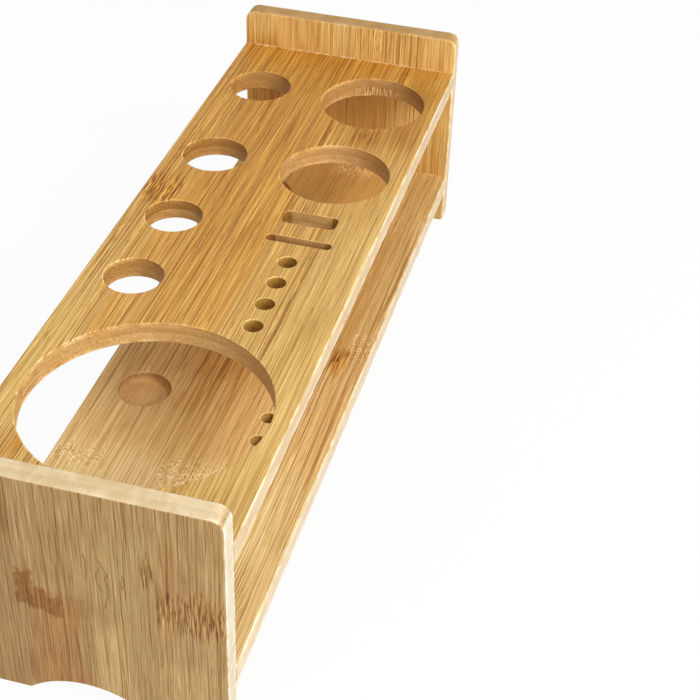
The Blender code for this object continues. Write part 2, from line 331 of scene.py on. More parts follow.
class Nodes:
    """Writes the nodes of a material or a world: each call adds what it names and gives its result."""

    def __init__(self, owner):
        owner.use_nodes = True
        self.owner = owner
        self.tree = owner.node_tree
        self.tree.nodes.clear()

    def add(self, kind, inputs, **settings):
        node = self.tree.nodes.new(kind)
        for key, value in settings.items():
            setattr(node, key, value)
        for key, value in inputs.items():
            if isinstance(value, bpy.types.NodeSocket):
                self.tree.links.new(value, node.inputs[key])
            elif value is not None:
                node.inputs[key].default_value = value
        return node

    def result(self, kind, inputs, **settings):
        return self.add(kind, inputs, **settings).outputs[0]

    def math(self, operation, a, b=None, c=None, clamp=False):
        return self.result("ShaderNodeMath", {0: a, 1: b, 2: c}, operation=operation, use_clamp=clamp)

    def chain(self, operation, values):
        total = values[0]
        for value in values[1:]:
            total = self.math(operation, total, value)
        return total

    def plus(self, *values):
        return self.chain("ADD", values)

    def times(self, *values):
        return self.chain("MULTIPLY", values)

    def largest(self, *values):
        return self.chain("MAXIMUM", values)

    def size_of(self, value):
        return self.math("ABSOLUTE", value)

    def away(self, value, place):
        return self.size_of(self.math("SUBTRACT", value, place))

    def swing(self, value, amount):
        """A noise value turned into a swing of this size either way."""
        return self.math("MULTIPLY_ADD", value, 2 * amount, -amount)

    def rise(self, value, low, high):
        """0 up to the low value and 1 from the high one, which may also lie below it."""
        inputs = {"Value": value, "From Min": low, "From Max": high}
        return self.result("ShaderNodeMapRange", inputs, interpolation_type="SMOOTHSTEP")

    def between(self, value, start, stop):
        """1 within a range, whose start and stop each give the values that it fades between."""
        return self.times(self.rise(value, *start), self.rise(value, *stop))

    def near(self, value, place, far, close):
        """1 where the value is this close to the place, and 0 where it is this far from it."""
        return self.rise(self.away(value, place), far, close)

    def point(self, x, y, z):
        return self.result("ShaderNodeCombineXYZ", {0: x, 1: y, 2: z})

    def noise(self, point, size, detail=1.0, roughness=0.5):
        """Noise whose lumps have this size in millimetres along each direction."""
        scale = tuple(1 / s for s in size)
        scaled = self.result("ShaderNodeVectorMath", {0: point, 1: scale}, operation="MULTIPLY")
        inputs = {"Vector": scaled, "Scale": 1.0, "Detail": detail, "Roughness": roughness}
        return self.result("ShaderNodeTexNoise", inputs)

    def mix(self, factor, a, b, blend="MIX"):
        a, b = ((*colour, 1.0) if isinstance(colour, tuple) else colour for colour in (a, b))
        node = self.add("ShaderNodeMix", {0: factor, 6: a, 7: b}, data_type="RGBA", blend_type=blend)
        return node.outputs[2]

    def ramp(self, value, stops, interpolation="LINEAR"):
        node = self.add("ShaderNodeValToRGB", {0: value})
        ramp = node.color_ramp
        ramp.interpolation = interpolation
        while len(ramp.elements) > 1:
            ramp.elements.remove(ramp.elements[-1])
        for i, (place, colour) in enumerate(stops):
            element = ramp.elements[0] if i == 0 else ramp.elements.new(place)
            element.position = place
            element.color = (*colour, 1.0)
        return node.outputs[0]

    def read_surface(self):
        """The place on the piece in millimetres, and the way out of its surface."""
        coordinates = self.add("ShaderNodeTexCoord", {})
        scaled = {0: coordinates.outputs["Object"], 3: 1 / MM}
        place = self.result("ShaderNodeVectorMath", scaled, operation="SCALE")
        return place, coordinates.outputs["Normal"]

    def seen_directly(self):
        """1 for the rays that look at a thing, and 0 for those that bring its light elsewhere."""
        rays = self.add("ShaderNodeLightPath", {}).outputs
        return self.largest(rays["Is Camera Ray"], rays["Is Glossy Ray"], rays["Is Transmission Ray"])

    def surface(self, colour, roughness, relief, strength, depth, **more):
        """Ends a material with its colour, roughness and a fine relief of this depth in millimetres."""
        bump = {"Strength": strength, "Distance": depth * MM, "Height": relief}
        normal = self.result("ShaderNodeBump", bump)
        values = {"Base Color": colour, "Roughness": roughness, "Normal": normal, **more}
        shader = self.result("ShaderNodeBsdfPrincipled", values)
        self.add("ShaderNodeOutputMaterial", {0: shader})
        return self.owner


# Colours of a strip from its darkest to its lightest fibre
YELLOW = (
    (0.36, 0.19, 0.042), (0.51, 0.31, 0.08), (0.63, 0.41, 0.128),
    (0.74, 0.505, 0.178), (0.85, 0.61, 0.25),
)
ORANGE = (
    (0.28, 0.112, 0.018), (0.42, 0.19, 0.034), (0.53, 0.26, 0.058),
    (0.62, 0.33, 0.084), (0.72, 0.42, 0.123),
)
GOLDEN = (
    (0.37, 0.188, 0.038), (0.53, 0.305, 0.073), (0.655, 0.405, 0.118),
    (0.765, 0.5, 0.166), (0.88, 0.605, 0.235),
)
AMBER = (
    (0.3, 0.114, 0.012), (0.45, 0.193, 0.023), (0.565, 0.263, 0.039),
    (0.665, 0.335, 0.058), (0.77, 0.425, 0.088),
)
CHESTNUT = (
    (0.3, 0.106, 0.013), (0.44, 0.18, 0.027), (0.55, 0.255, 0.049),
    (0.63, 0.325, 0.077), (0.73, 0.415, 0.116),
)
TAN = (
    (0.42, 0.2, 0.052), (0.59, 0.345, 0.112), (0.71, 0.45, 0.165),
    (0.8, 0.55, 0.222), (0.9, 0.66, 0.31),
)
# Grey-brown strips of the near panel
GREY_BROWN = (
    (0.27, 0.145, 0.045), (0.36, 0.21, 0.076), (0.435, 0.275, 0.108),
    (0.5, 0.325, 0.134), (0.58, 0.4, 0.175),
)
RUSSET = (
    (0.25, 0.112, 0.028), (0.34, 0.167, 0.048), (0.42, 0.22, 0.07),
    (0.49, 0.28, 0.095), (0.57, 0.355, 0.135),
)

# What lines, marks and walls do to the colour that they cross
DARK_LINE = (0.58, 0.44, 0.27)
FAINT_LINE = (0.7, 0.57, 0.38)
PALE_LINE = (1.26, 1.34, 1.48)
STAIN = (0.8, 0.61, 0.29)
STAIN_SPOT = (0.68, 0.59, 0.46)
PINK_STAIN = (0.93, 0.88, 0.8)
CURL = (0.6, 0.5, 0.37)
# A painted highlight, beside curled lines and in the stains' mottle
GLINT = (1.14, 1.16, 1.16)
STROKE_LIGHT = (1.3, 1.4, 1.6)
CRUMB_LIGHT = (1.22, 1.3, 1.48)
CRUMB_DARK = (0.76, 0.64, 0.5)
SEAM = (0.68, 0.58, 0.44)
CUT_STEP = (0.93, 0.87, 0.84)
# Painted shade on the walls of openings and pockets, except the pink tint, which is the wide slot's own
# tone; the small holes' tint is partly their darker upper ply
SHADED_WALL = (0.52, 0.38, 0.2)
PICK_HOLE_SHADE = (0.57, 0.48, 0.16)
UPPER_PLY_AND_SHADE = (0.52, 0.37, 0.09)
PINK_WALL = (0.96, 1.02, 1.06)
SLOT_END_SHADE = (0.52, 0.38, 0.08)
PICK_POCKET_SHADE = (0.6, 0.55, 0.3)
# Paler sanded edges with a painted highlight on them
RIM_WEAR_AND_GLINT = (1.4, 1.55, 1.95)

# Colours of pocket floors, of cut ends and of the boards' long sides
POCKET_FLOOR = (0.82, 0.5, 0.2)
SHELF_CUT = (0.555, 0.34, 0.138)
# The long sides and the near panel's cut top are partly their own pale tone and partly painted light, a
# paleness for the strong light on them
SHELF_SIDE = (0.63, 0.48, 0.29)
LOW_SIDE = (0.68, 0.56, 0.39)
NEAR_CUT = (0.76, 0.59, 0.34)
NEAR_SIDE = (0.68, 0.61, 0.45)
FAR_CUT = (0.5, 0.3, 0.11)
FAR_SIDE = (0.68, 0.53, 0.33)

# How a cut's and a side's colour changes in its dull, pale, bright and warm patches
DULL_CUT = (0.94, 0.92, 0.87)
PALE_CUT = (1.06, 1.09, 1.17)
BRIGHT_SIDE = (1.12, 1.12, 1.12)
WARM_SIDE = (0.97, 0.87, 0.68)

# Dashes of the joints: their size, the warmth around them, then their dark and pale colours
SHELF_DASH = ((7.0, 0.8, 0.8), (0.97, 0.91, 0.8), (0.48, 0.33, 0.17), (1.42, 1.48, 1.5))
PANEL_DASH = ((6.0, 0.85, 0.85), (0.88, 0.78, 0.66), (0.54, 0.42, 0.29), (1.34, 1.36, 1.34))

# Slopes between which a surface turns into a wall, an end, a side, or a shaded or a lit one
WALL_SLOPE = (0.6, 0.3)
END_SLOPE = (0.5, 0.95)
SIDE_SLOPE = (0.5, 0.9)
SHADED_SLOPE = (0.15, 0.85)
RIM_SHADE_SLOPE = (-0.3, 0.3)
SHADED_SIDE_SLOPE = (0.08, 0.6)
SHADED_SIDE_TURN = -0.5
LIT_SLOPE = (0.25, -0.45)
LIT_SHARE = 0.85
UNLIT_SHARE = 0.25

# Where a board's sides, its plies, its pockets and the painted shade line under a rim begin and end
SIDE_REACH = (53.9, 54.6)
PLY_EDGE = 0.05
SUNK_DEPTHS = ((0.7, 1.2), (8.0, 7.0))
RIM_SHADE_DEPTHS = ((0.3, 0.6), (1.3, 0.9))
WALL_BORDER = (1.2, 0.8)

# Strips are laid over this reach either way, and numbers set them and the two plies apart
ACROSS_REACH = 56.0
SEED_START = 0.17
SEED_STEP = 0.379
SEED_PER_STRIP = 0.11
SEED_SHIFT = 900.0
PLY_SHIFT = 431.0

# Grain of the wood: sizes along the fibres, across the strips and through the board
FIBRE_WAVE = (80, 15, 15)
FIBRE_WANDER = 0.6
RAGGED_END = (1, 0.9, 1.4)
RAGGED_SLOWNESS = 0.02
RAGGED_REACH = 13.0
BROAD_GRAIN = (240, 6.5, 5)
BAND_GRAIN = (150, 2.3, 2)
STREAK_GRAIN = (75, 0.72, 0.7)
THREAD_GRAIN = (36, 0.4, 0.4)
VEIN_GRAIN = (170, 0.85, 0.8)
FINE_GRAIN = (60, 0.5, 0.5)
PALE_GRAIN = (95, 0.65, 0.65)
PORE_GRAIN = (9, 0.5, 0.5)

# How far the grain swings a board's tone either way, and its orange
BROAD_SWING = 0.26
BAND_SWING = 0.12
STREAK_SWING = 0.46
THREAD_SWING = 0.95
ORANGE_SWING = 0.5

# Values of the grain between which lines and marks set in
LINED_BAND = (0.36, 0.6)
BOLD_LINE = (0.585, 0.615)
BESIDE_LINE = ((0.535, 0.555), (0.59, 0.575))
FINE_LINE = (0.55, 0.59)
PORE_LINE = (0.6, 0.67)
FAIR_LINE = (0.595, 0.635)
DARK_DASH = (0.51, 0.55)
PALE_DASH = (0.47, 0.43)
DARK_STROKE = (0.47, 0.42)
PALE_STROKE = (0.5, 0.54)
SEAM_BAND = (0.4, 0.56)
BLOTCH = (0.4, 0.62)
SPECKLE = (0.5, 0.66)
SIDE_THREAD = (0.4, 0.62)
WARM_PATCH = (0.44, 0.62)
WORN_PATCH = (0.36, 0.6)

# How strong the lines are beside each other
PALE_SHARE = 0.8
FINE_SHARE = 0.9
BOLD_SHARE = 0.95
PORE_SHARE = 0.7

# Half widths of the seams, from their faintest to their full part
SEAM_WIDTH = (0.24, 0.08)
PLY_LINE_WIDTH = (0.2, 0.05)

# Shares of a mark's half length and half width that have its full strength
FULL_LENGTH = 0.5
FULL_WIDTH = 0.84
FULL_TINT_WIDTH = 0.5

# Crumbs, stains, curls, strokes and patches: sizes of their noise and what they take of it
CRUMB_SIZE = (3.2, 2, 2)
LIGHT_CRUMB = (0.5, 0.06, 0.02)
DARK_CRUMBS = ((0.6, 0.045, 0.02), (0.4, 0.045, 0.02))
MOTTLE_SIZE = (1.7, 1.1, 1.1)
LUMP_SIZE = (5, 4, 4)
LUMP_REACH = 2.8
STAIN_END = (0.6, -1.2)
STAIN_SIDE = (0.5, -0.9)
SPOT_LEVEL = (0.5, 0.07, 0.03)
GLINT_LEVEL = (0.64, 0.05, 0.02)
WOBBLE_SIZE = (9, 6, 6)
WOBBLE_REACH = 0.7
CURL_WIDTH = 0.45
CURL_CORE = 0.4
CURL_TIP = 0.8
GLINT_OFFSET = 1.9
STROKE_SIZE = (1, 0.75, 9)
STROKE_REACH = (6, 3)
STROKE_EDGE = 0.8
CUT_SIZE = (0.7, 0.7, 0.7)
BLOTCH_SIZE = (9, 6, 2.5)
PATCH_SIZE = (13, 3, 2.6)
PATCH_SHARE = 0.8
WORN_SIZE = (8, 8, 5)
ROUGH = 0.6

# How much the grain and the marks change the roughness and the relief
BAND_GLOSS = 0.08
THREAD_GLOSS = 0.06
LINE_GLOSS = 0.07
END_GLOSS = 0.12
JOINT_GLOSS = 0.08
THREAD_RELIEF = 0.6
STREAK_RELIEF = 0.5
LINE_RELIEF = -0.5
PORE_RELIEF = -0.6
SEAM_RELIEF = -0.6
END_RELIEF = 1.2
RELIEF_STRENGTH = 0.45
RELIEF_DEPTH = 0.07
SPECULAR = {"Specular IOR Level": 0.28}


class Bamboo(Nodes):
    """The finish of one laminated board, worked out in millimetres.

    u runs along the fibres, v across the strips and w through the board's thickness. The plies
    meet at w = split, and inwards is the sign of w towards the second ply.
    """

    def __init__(self, name, grain, split, inwards):
        super().__init__(bpy.data.materials.new(name))
        self.place, normal = self.read_surface()
        x, y, z = self.add("ShaderNodeSeparateXYZ", {0: self.place}).outputs
        way_x, way_y, way_z = self.add("ShaderNodeSeparateXYZ", {0: normal}).outputs
        self.u, self.v, self.w = (x, y, z) if grain == "X" else (z, y, x)
        self.facing = way_y
        # How far a surface faces away from the window, for painted shade
        self.shaded_side = self.math("MULTIPLY_ADD", way_x, SHADED_SIDE_TURN, way_y)
        self.upright = self.rise(self.size_of(way_z), *WALL_SLOPE)
        self.end = self.rise(self.size_of(way_x if grain == "X" else way_z), *END_SLOPE)
        self.side = self.rise(self.size_of(way_y), *SIDE_SLOPE)
        self.through = self.times(self.math("SUBTRACT", self.w, split), inwards)
        self.second = self.rise(self.through, -PLY_EDGE, PLY_EDGE)
        self.first = self.math("SUBTRACT", 1.0, self.second)
        # The rounded edges, where wear and a painted highlight go
        self.wear_and_glint = self.add("ShaderNodeAttribute", {}, attribute_name="wear_and_glint").outputs["Fac"]

    def lay_strips(self, first, second):
        """Reads each strip's lightness and orange, and a number that sets its fibres apart."""
        share = self.math("MULTIPLY_ADD", self.v, 0.5 / ACROSS_REACH, 0.5)
        plies = []
        for rows in (first, second):
            stops = []
            for i, (start, light, orange) in enumerate(rows):
                seed = (SEED_START + SEED_STEP * i + SEED_PER_STRIP * len(rows)) % 1.0
                stops.append((0.5 + 0.5 * start / ACROSS_REACH, (light, orange, seed)))
            plies.append(self.ramp(share, stops, "CONSTANT"))
        strip = self.add("ShaderNodeSeparateColor", {0: self.mix(self.second, *plies)})
        self.light, self.orange, seed = strip.outputs
        self.shift = self.math("MULTIPLY_ADD", seed, SEED_SHIFT, self.times(self.second, PLY_SHIFT))
        self.strips = (first, second)

    def wave_fibres(self):
        """Fibres wander gently across the board, and marks end raggedly along them."""
        drifting = self.point(self.u, self.plus(self.v, self.shift), self.w)
        self.waved = self.plus(self.v, self.swing(self.noise(drifting, FIBRE_WAVE), FIBRE_WANDER))
        self.fibre = self.point(self.plus(self.u, self.shift), self.waved, self.plus(self.w, self.shift))
        slow = self.point(self.times(self.u, RAGGED_SLOWNESS), self.waved, self.w)
        self.jogged = self.plus(self.u, self.swing(self.noise(slow, RAGGED_END), RAGGED_REACH))

    def grain(self, size, detail=1.0, roughness=0.5):
        """Noise along the fibres, as long as this board has them."""
        return self.noise(self.fibre, (size[0] * self.reach, *size[1:]), detail, roughness)

    def soft_field(self, u0, v0, half_u, half_v, strength, full_width=FULL_WIDTH):
        """A soft patch, with edges that follow the fibres' ends."""
        near_u = self.near(self.jogged, u0, half_u, half_u * FULL_LENGTH)
        near_v = self.near(self.waved, v0, half_v, half_v * full_width)
        return self.times(near_u, near_v, strength)

    def field(self, marks):
        return self.largest(*[self.soft_field(*mark) for mark in marks])

    def draw_fibres(self, palettes, tints, calm, drift, contrast, reach):
        """The wood's tone along its fibres. Drift is how much lighter and more orange it gets along u."""
        self.wave_fibres()
        self.reach = reach
        broad = self.noise(self.fibre, BROAD_GRAIN)
        self.bands = self.grain(BAND_GRAIN, 2.0)
        self.streaks = self.grain(STREAK_GRAIN, 2.0, ROUGH)
        self.threads = self.grain(THREAD_GRAIN)
        swings = self.plus(
            self.swing(broad, BROAD_SWING * contrast),
            self.swing(self.bands, BAND_SWING * contrast),
            self.swing(self.streaks, STREAK_SWING * contrast),
        )
        self.loud = 1.0
        if calm:
            self.loud = self.math("SUBTRACT", 1.0, self.field(calm))
            swings = self.times(swings, self.loud)
        swings = self.plus(swings, self.swing(self.threads, THREAD_SWING * contrast))
        tone = self.plus(self.light, swings, self.times(self.u, drift[0]))
        orange = self.plus(self.orange, self.times(self.u, drift[1]), self.swing(broad, ORANGE_SWING))
        for *patch, lighter, redder in tints:
            shown = self.times(self.soft_field(*patch, 1.0, FULL_TINT_WIDTH), self.first)
            tone = self.plus(tone, self.times(shown, lighter))
            orange = self.plus(orange, self.times(shown, redder))
        ramps = [[(i / 4, colour) for i, colour in enumerate(palette)] for palette in palettes]
        plain, warm = (self.ramp(tone, stops) for stops in ramps)
        self.colour = self.mix(self.math("ADD", orange, 0.0, clamp=True), plain, warm)

    def tint(self, colour, *shares):
        tinted = self.mix(1.0, self.colour, colour, "MULTIPLY")
        self.colour = self.mix(self.times(*shares), self.colour, tinted)

    def draw_lines(self, strength):
        """Thin brown lines of the darker fibres, with pale ones between them."""
        here = self.rise(self.bands, *LINED_BAND)
        vein = self.grain(VEIN_GRAIN)
        bold = self.rise(vein, *BOLD_LINE)
        beside = self.between(vein, *BESIDE_LINE)
        fine = self.rise(self.grain(FINE_GRAIN), *FINE_LINE)
        short = self.rise(self.noise(self.fibre, PORE_GRAIN), *PORE_LINE)
        pale = self.rise(self.grain(PALE_GRAIN), *FAIR_LINE)
        strength = self.times(self.loud, strength)
        self.lines = self.times(bold, self.math("MULTIPLY_ADD", here, 0.5, 0.5))
        self.pores = self.times(short, here)
        self.tint(PALE_LINE, self.largest(pale, beside), self.times(strength, PALE_SHARE))
        self.tint(FAINT_LINE, fine, self.times(strength, FINE_SHARE))
        self.tint(DARK_LINE, self.lines, self.times(strength, BOLD_SHARE))
        self.tint(DARK_LINE, self.pores, self.times(strength, PORE_SHARE))

    def add_dashes(self, marks, size, warm, dark, pale):
        """Staggered dashes of the culm's joints."""
        dash = self.noise(self.point(self.jogged, self.waved, self.w), size)
        self.joint = self.field(marks)
        self.tint(warm, self.joint)
        self.tint(dark, self.joint, self.rise(dash, *DARK_DASH))
        self.tint(pale, self.joint, self.rise(dash, *PALE_DASH))

    def add_crumbs(self, marks):
        """Pale curled crumbs, where a joint was planed flat."""
        crumb = self.noise(self.place, CRUMB_SIZE, 2.0, ROUGH)
        field = self.field(marks)
        self.tint(CRUMB_LIGHT, field, self.near(crumb, *LIGHT_CRUMB))
        for level in DARK_CRUMBS:
            self.tint(CRUMB_DARK, field, self.near(crumb, *level))

    def stain(self, lumps, boxes):
        """One ragged field over all these boxes, on the ply that is seen."""
        fields = []
        for u0, v0, half_u, half_v, strength in boxes:
            ends = (half_u + edge for edge in STAIN_END)
            sides = (half_v + edge for edge in STAIN_SIDE)
            inside_u = self.rise(self.plus(self.away(self.u, u0), lumps), *ends)
            inside_v = self.rise(self.plus(self.away(self.v, v0), lumps), *sides)
            fields.append(self.times(inside_u, inside_v, self.times(self.first, strength)))
        return self.largest(*fields)

    def add_stains(self, mottled, plain):
        """Mottled stains with ragged outlines and painted glints in their mottle, and plain pink ones
        beside them.
        """
        mottle = self.noise(self.place, MOTTLE_SIZE, 2.0, ROUGH)
        lumps = self.swing(self.noise(self.place, LUMP_SIZE), LUMP_REACH)
        field = self.stain(lumps, mottled)
        self.tint(PINK_STAIN, self.stain(lumps, plain))
        self.tint(STAIN, field)
        self.tint(STAIN_SPOT, field, self.near(mottle, *SPOT_LEVEL))
        # Painted glints in the stains' mottle
        self.tint(GLINT, field, self.near(mottle, *GLINT_LEVEL))

    def add_curls(self, arcs):
        """Faint curled lines: parts of ellipses, each from one angle to another, with a painted highlight
        beside each line.
        """
        wobble = self.swing(self.noise(self.place, WOBBLE_SIZE), WOBBLE_REACH)
        for u0, v0, half_u, half_v, start, stop, strength in arcs:
            du = self.times(self.math("SUBTRACT", self.u, u0), 1 / half_u)
            dv = self.times(self.math("SUBTRACT", self.v, v0), 1 / half_v)
            span = self.add("ShaderNodeVectorMath", {0: self.point(du, dv, 0.0)}, operation="LENGTH")
            reach = self.plus(span.outputs["Value"], wobble)
            middle = math.radians((start + stop) / 2)
            half = math.radians((stop - start) / 2)
            turned = self.math("SUBTRACT", self.math("ARCTAN2", dv, du), middle)
            turned = self.size_of(self.math("WRAP", turned, math.pi, -math.pi))
            shown = self.times(self.rise(turned, half, half * CURL_TIP), self.times(self.first, strength))
            width = CURL_WIDTH / half_v
            line = self.near(reach, 1.0, width, width * CURL_CORE)
            beside = self.near(reach, 1.0 + GLINT_OFFSET * width, width, width * CURL_CORE)
            self.tint(CURL, shown, line)
            # A painted highlight beside the curled line
            self.tint(GLINT, shown, beside)

    def add_strokes(self, u0, v0, half_v):
        """Torn fibres on the far wall of an opening, as short upright strokes."""
        near_u = self.near(self.u, u0, *STROKE_REACH)
        near_v = self.near(self.v, v0, half_v, half_v * STROKE_EDGE)
        shown = self.times(near_u, near_v, self.end, self.second)
        stroke = self.noise(self.point(0.0, self.v, self.w), STROKE_SIZE)
        self.tint(STROKE_LIGHT, shown, self.rise(stroke, *PALE_STROKE))
        self.tint(DARK_LINE, shown, self.rise(stroke, *DARK_STROKE))

    def add_seams(self, strength):
        """Glue lines between the strips and between the plies."""
        sheets = []
        for rows in self.strips:
            gaps = [self.away(self.v, start) for start, _, _ in rows[1:]]
            sheets.append(self.rise(self.chain("MINIMUM", gaps), *SEAM_WIDTH))
        sheet = self.plus(self.times(sheets[0], self.first), self.times(sheets[1], self.second))
        here = self.times(sheet, self.rise(self.bands, *SEAM_BAND))
        between = self.rise(self.size_of(self.through), *PLY_LINE_WIDTH)
        self.seams = self.largest(here, between)
        self.tint(SEAM, self.seams, strength)

    def finish_ends(self, cut, strength, speckle, step, around=0.0):
        """Cut ends show the fibres end on, and the two plies differ a little."""
        self.mottle = self.noise(self.place, CUT_SIZE, 3.0, ROUGH)
        blotches = self.rise(self.noise(self.place, BLOTCH_SIZE, 2.0), *BLOTCH)
        cut = self.mix(blotches, scaled_colour(cut, DULL_CUT), scaled_colour(cut, PALE_CUT))
        shown = self.times(self.end, strength)
        if around:
            shown = self.largest(shown, self.times(self.upright, around))
        self.colour = self.mix(shown, self.colour, cut)
        self.tint(FAINT_LINE, self.end, self.rise(self.mottle, *SPECKLE), speckle)
        self.tint(CUT_STEP, self.end, self.first, step)

    def finish_sides(self, side, strength):
        """The board's long sides are pale, partly their flat fibres' own tone and partly painted light,
        with warmer patches.
        """
        outer = self.times(self.side, self.rise(self.size_of(self.v), *SIDE_REACH))
        bright = self.rise(self.threads, *SIDE_THREAD)
        grain = self.mix(bright, side, scaled_colour(side, BRIGHT_SIDE))
        patches = self.rise(self.noise(self.place, PATCH_SIZE, 2.0, ROUGH), *WARM_PATCH)
        grain = self.mix(self.times(patches, PATCH_SHARE), grain, scaled_colour(side, WARM_SIDE))
        self.colour = self.mix(self.times(outer, strength), self.colour, grain)

    def finish_walls(self, walls, shade, half_thickness):
        """Walls of the openings: painted shade where they face away from the window, a painted shade line
        just under the rim, and a tint on each listed wall, mostly painted shade.
        """
        # Painted shade on walls that face away from the window
        self.tint(SHADED_WALL, self.upright, self.rise(self.facing, *SHADED_SLOPE), shade)
        # A painted shade line just under the rim, on walls that face away from the window
        rim_shade_line = self.between(self.plus(self.through, half_thickness), *RIM_SHADE_DEPTHS)
        self.tint(FAINT_LINE, rim_shade_line, self.upright, self.rise(self.facing, *RIM_SHADE_SLOPE), shade)
        for x0, y0, half_u, half_v, colour, upper, lower in walls:
            near_u = self.near(self.u, x0, *(half_u + border for border in WALL_BORDER))
            near_v = self.near(self.v, y0, *(half_v + border for border in WALL_BORDER))
            share = self.math("MULTIPLY_ADD", self.second, lower - upper, upper)
            self.tint(colour, near_u, self.upright, near_v, share)

    def smooth_pockets(self, top, strength):
        """The milled floors of the pockets show fainter fibres, and painted shade darkens the side that
        faces away from the window.
        """
        sunk = self.between(self.w, *[(top - far, top - close) for far, close in SUNK_DEPTHS])
        self.colour = self.mix(self.times(sunk, strength), self.colour, POCKET_FLOOR)
        # Painted shade on the pocket side that faces away from the window
        self.tint(SHADED_WALL, sunk, self.rise(self.shaded_side, *SHADED_SIDE_SLOPE))

    def add_wear_and_glint(self, strength):
        """Sanded edges are paler, and a painted highlight lies on them, most of all on those that face the
        window.
        """
        patchy = self.rise(self.noise(self.place, WORN_SIZE, 2.0), *WORN_PATCH)
        lit = self.math("MULTIPLY_ADD", self.rise(self.facing, *LIT_SLOPE), LIT_SHARE, UNLIT_SHARE)
        # Paler wear on every rounded edge, and a painted highlight that is strongest where the edge faces
        # the window
        self.tint(RIM_WEAR_AND_GLINT, self.wear_and_glint, lit, self.times(patchy, strength))

    def shade(self, roughness):
        gloss = self.plus(
            roughness,
            self.swing(self.bands, BAND_GLOSS),
            self.swing(self.threads, THREAD_GLOSS),
            self.times(self.lines, LINE_GLOSS),
            self.times(self.end, END_GLOSS),
            self.times(self.joint, JOINT_GLOSS),
        )
        relief = self.plus(
            self.times(self.threads, THREAD_RELIEF),
            self.times(self.streaks, STREAK_RELIEF),
            self.times(self.lines, LINE_RELIEF),
            self.times(self.pores, PORE_RELIEF),
            self.times(self.seams, SEAM_RELIEF),
            self.times(self.end, self.mottle, END_RELIEF),
        )
        return self.surface(self.colour, gloss, relief, RELIEF_STRENGTH, RELIEF_DEPTH, **SPECULAR)


def scaled_colour(colour, scale):
    return tuple(part * factor for part, factor in zip(colour, scale))


def beech(name):
    """Plain turned dowel wood: straight fine grain with short darker flecks."""
    n = Nodes(bpy.data.materials.new(name))
    place, _ = n.read_surface()
    grain = n.noise(place, (30.0, 0.6, 0.6), 3.0, ROUGH)
    flecks = n.noise(place, (2.0, 0.3, 0.3))
    colour = n.ramp(grain, [(0.3, (0.58, 0.4, 0.23)), (0.55, (0.68, 0.5, 0.31)), (0.75, (0.76, 0.6, 0.4))])
    colour = n.mix(n.times(n.rise(flecks, 0.58, 0.7), 0.4), colour, (0.46, 0.29, 0.16))
    roughness = n.plus(0.55, n.swing(grain, 0.1))
    return n.surface(colour, roughness, grain, strength=0.3, depth=0.05)


def dried_glue(name):
    """Yellow glue, in lumps of paler and darker tones."""
    n = Nodes(bpy.data.materials.new(name))
    lumps = n.noise(n.read_surface()[0], (3.0, 3.0, 1.0), 3.0, ROUGH)
    colour = n.ramp(lumps, [(0.35, (0.5, 0.3, 0.1)), (0.5, (0.66, 0.47, 0.21)), (0.65, (0.78, 0.62, 0.36))])
    roughness = n.plus(0.4, n.swing(lumps, 0.12))
    return n.surface(colour, roughness, lumps, strength=0.4, depth=0.1)


# Strips of each ply, from the -Y side to the +Y side: start, lightness, orange
TOP_UPPER = (
    (-56, 0.6, 0.05), (-48, 0.52, 0.25), (-30.5, 0.54, 0.35), (-12, 0.64, 0.92),
    (4, 0.58, 0.95), (20, 0.63, 0.85), (37, 0.6, 0.45),
)
TOP_LOWER = (
    (-56, 0.6, 0.3), (-39, 0.5, 0.6), (-21.5, 0.58, 0.5), (-4, 0.5, 0.8),
    (13, 0.58, 0.5), (29.5, 0.5, 0.6), (46, 0.56, 0.5),
)
LOW_UPPER = ((-56, 0.74, 0.2), (-36, 0.74, 0.35), (-14, 0.7, 0.45), (10, 0.74, 0.4), (33, 0.72, 0.35))
LOW_LOWER = (
    (-56, 0.54, 0.3), (-45, 0.46, 0.5), (-22, 0.54, 0.4), (1, 0.5, 0.6),
    (24, 0.56, 0.4), (46, 0.5, 0.5),
)
NEAR_OUTER = ((-56, 0.52, 0.05), (-30.5, 0.46, 0), (-4, 0.39, 0.08), (23, 0.33, 0.1), (49.5, 0.4, 0.1))
NEAR_INNER = ((-56, 0.6, 0.2), (-42, 0.5, 0.3), (-15, 0.62, 0.2), (11, 0.54, 0.3), (38, 0.6, 0.2))
FAR_INNER = ((-56, 0.95, 0.6), (-38.5, 0.88, 0.7), (-14, 0.96, 0.55), (9, 0.9, 0.7), (33, 0.95, 0.65))
FAR_OUTER = ((-56, 0.56, 0.4), (-29, 0.6, 0.3), (-3.5, 0.5, 0.5), (22, 0.58, 0.35), (47, 0.52, 0.4))

# Marks of the culm's joints: along the fibres, across, half length, half width, strength
TOP_DASHES = ((27, 46, 12, 8.8, 1), (-88, 51.5, 5, 3, 0.5), (101, -28, 9, 7, 0.5))
LOW_DASHES = ((8, -42.5, 7, 4, 0.9), (167, -7, 4.5, 11, 0.1))
LOW_CRUMBS = (
    (-86.5, 43.5, 5.5, 11, 1), (-85, -4.5, 8.5, 14, 1),
    (20, -50, 12, 6.5, 0.9), (168, -7.5, 6.5, 11, 1),
)
NEAR_DASHES = ((58, -36.5, 11.5, 7.5, 0.95), (58, -48.8, 12.5, 6.4, 1), (75, -26.8, 8.5, 2.4, 0.9))
FAR_DASHES = ((34, -26, 8, 11.5, 0.6), (101, -13.5, 7, 3.5, 0.7))

# Stains of the near panel, the same way
MOTTLED_STAINS = ((54.5, 20, 8.8, 3.4, 0.95), (50.5, 15.6, 5.6, 3.4, 0.95), (48, 10.5, 4.4, 3.6, 0.8))
PLAIN_STAINS = ((49, 3.6, 5.8, 8.4, 0.9), (48, -3.6, 4.6, 2, 0.8))

